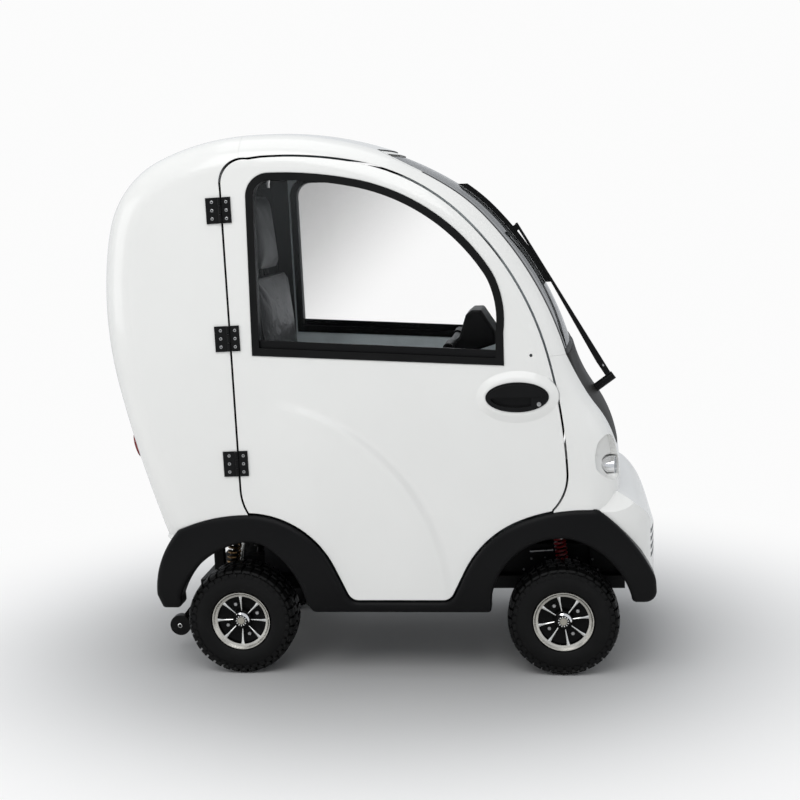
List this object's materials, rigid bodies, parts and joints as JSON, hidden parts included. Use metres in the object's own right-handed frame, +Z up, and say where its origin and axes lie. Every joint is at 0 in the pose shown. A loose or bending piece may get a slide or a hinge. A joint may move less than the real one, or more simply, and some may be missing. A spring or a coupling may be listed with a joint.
{
  "type": "enclosed mobility scooter",
  "caption": "Small enclosed mobility scooter: white moulded cabin with wide windows, black wheel flares and sills, rear-hinged doors, tiller steering and alloy wheels.",
  "frame": {"origin": "bottom centre of the bounding box, on the ground under the middle of the vehicle", "axes": "+X to the front of the vehicle, +Y to its left, +Z up"},
  "size_m": [1.6456, 0.8, 1.621],
  "materials": {
    "white_body": "gloss",
    "black_plastic": "satin",
    "clear_glass": "clear",
    "black_rubber": "matte",
    "skirt_black": "textured satin",
    "lamp_chrome": "polished",
    "lamp_glass": "clear",
    "red_lens": "gloss",
    "floor_grey": "textured",
    "black_steel": "satin",
    "cast_grey": "satin",
    "battery_case": "matte",
    "spring_bronze": "gloss",
    "spring_red": "gloss",
    "seat_vinyl": "matte",
    "hinge_black": "satin",
    "trim_grey": "satin",
    "tyre_rubber": "matte",
    "alloy": "machined"
  },
  "bodies": {
    "chassis": {"rear_shell": "white_body", "roof_frame": "white_body", "front_shell": "white_body", "cowl": "black_plastic", "windscreen": "clear_glass", "windscreen_seal": "black_rubber", "rear_window": "clear_glass", "rear_window_seal": "black_rubber", "skirt_right": "skirt_black", "skirt_left": "skirt_black", "headlamp_bowls": "lamp_chrome", "headlamp_lenses": "lamp_glass", "tail_lamps": "red_lens", "floor_pan": "floor_grey", "chassis_frame": "black_steel", "front_beam": "black_steel", "drive_unit": "cast_grey", "battery": "battery_case", "rear_struts": "spring_bronze", "front_struts": "spring_red", "steering_tube": "black_steel", "anti_tip_bracket": "black_steel", "seat_frame": "black_steel", "seat_cushion": "seat_vinyl", "seat_back": "seat_vinyl", "wiper": "black_plastic", "body_hinges": "hinge_black"},
    "door_right": {"door_panel_right": "white_body", "door_trim_right": "trim_grey", "window_frame_right": "black_rubber", "door_glass_right": "clear_glass", "door_handle_right": "black_plastic", "door_hinges_right": "hinge_black"},
    "door_left": {"door_panel_left": "white_body", "door_trim_left": "trim_grey", "window_frame_left": "black_rubber", "door_glass_left": "clear_glass", "door_handle_left": "black_plastic", "door_hinges_left": "hinge_black"},
    "tiller": {"tiller_shaft": "black_steel", "tiller_head": "black_plastic", "tiller_grips": "black_rubber"},
    "knuckle_right": {"knuckle_right": "cast_grey"},
    "anti_tip_right": {"anti_tip_wheel_right": "black_rubber"},
    "knuckle_left": {"knuckle_left": "cast_grey"},
    "anti_tip_left": {"anti_tip_wheel_left": "black_rubber"},
    "wheel_rear_right": {"tyre_rear_right": "tyre_rubber", "rim_rear_right": "alloy"},
    "wheel_rear_left": {"tyre_rear_left": "tyre_rubber", "rim_rear_left": "alloy"},
    "wheel_front_right": {"tyre_front_right": "tyre_rubber", "rim_front_right": "alloy"},
    "wheel_front_left": {"tyre_front_left": "tyre_rubber", "rim_front_left": "alloy"},
    "tie_rod": {"tie_rod": "black_steel"}
  },
  "joints": [
    {"name": "door_right_hinge", "type": "hinge", "parent": "chassis", "child": "door_right", "pos_m": [-0.40719, -0.37965, 0.60735], "axis": [0.0233, -0.0497, -0.9985], "range_deg": [0, 80]},
    {"name": "door_left_hinge", "type": "hinge", "parent": "chassis", "child": "door_left", "pos_m": [-0.40719, 0.37965, 0.60735], "axis": [-0.0233, -0.0497, 0.9985], "range_deg": [0, 80]},
    {"name": "tiller_steering", "type": "hinge", "parent": "chassis", "child": "tiller", "pos_m": [0.47481, 0, 0.25], "axis": [-0.2898, 0, 0.9571], "range_deg": [-36, 36]},
    {"name": "kingpin_right", "type": "hinge", "parent": "chassis", "child": "knuckle_right", "pos_m": [0.53981, -0.222, 0.165], "axis": [0, 0, 1], "range_deg": [-25.5, 25.5]},
    {"name": "kingpin_left", "type": "hinge", "parent": "chassis", "child": "knuckle_left", "pos_m": [0.53981, 0.222, 0.165], "axis": [0, 0, 1], "range_deg": [-25.5, 25.5]},
    {"name": "wheel_rear_right_spin", "type": "hinge", "parent": "chassis", "child": "wheel_rear_right", "pos_m": [-0.43019, -0.303, 0.165], "axis": [0, 1, 0], "continuous": true},
    {"name": "wheel_rear_left_spin", "type": "hinge", "parent": "chassis", "child": "wheel_rear_left", "pos_m": [-0.43019, 0.303, 0.165], "axis": [0, 1, 0], "continuous": true},
    {"name": "wheel_front_right_spin", "type": "hinge", "parent": "knuckle_right", "child": "wheel_front_right", "pos_m": [0.53981, -0.303, 0.165], "axis": [0, 1, 0], "continuous": true},
    {"name": "wheel_front_left_spin", "type": "hinge", "parent": "knuckle_left", "child": "wheel_front_left", "pos_m": [0.53981, 0.303, 0.165], "axis": [0, 1, 0], "continuous": true},
    {"name": "anti_tip_right_spin", "type": "hinge", "parent": "chassis", "child": "anti_tip_right", "pos_m": [-0.67519, -0.175, 0.092], "axis": [0, 1, 0], "continuous": true},
    {"name": "anti_tip_left_spin", "type": "hinge", "parent": "chassis", "child": "anti_tip_left", "pos_m": [-0.67519, 0.175, 0.092], "axis": [0, 1, 0], "continuous": true},
    {"name": "tie_rod_pivot", "type": "hinge", "parent": "knuckle_right", "child": "tie_rod", "pos_m": [0.44981, -0.222, 0.112], "axis": [0, 0, 1], "range_deg": [-25.5, 25.5]}
  ],
  "couplings": [
    {"joint": "kingpin_right", "follows": "tiller_steering", "ratio": 0.6944},
    {"joint": "kingpin_left", "follows": "tiller_steering", "ratio": 0.6944},
    {"joint": "tie_rod_pivot", "follows": "tiller_steering", "ratio": -0.6944}
  ]
}
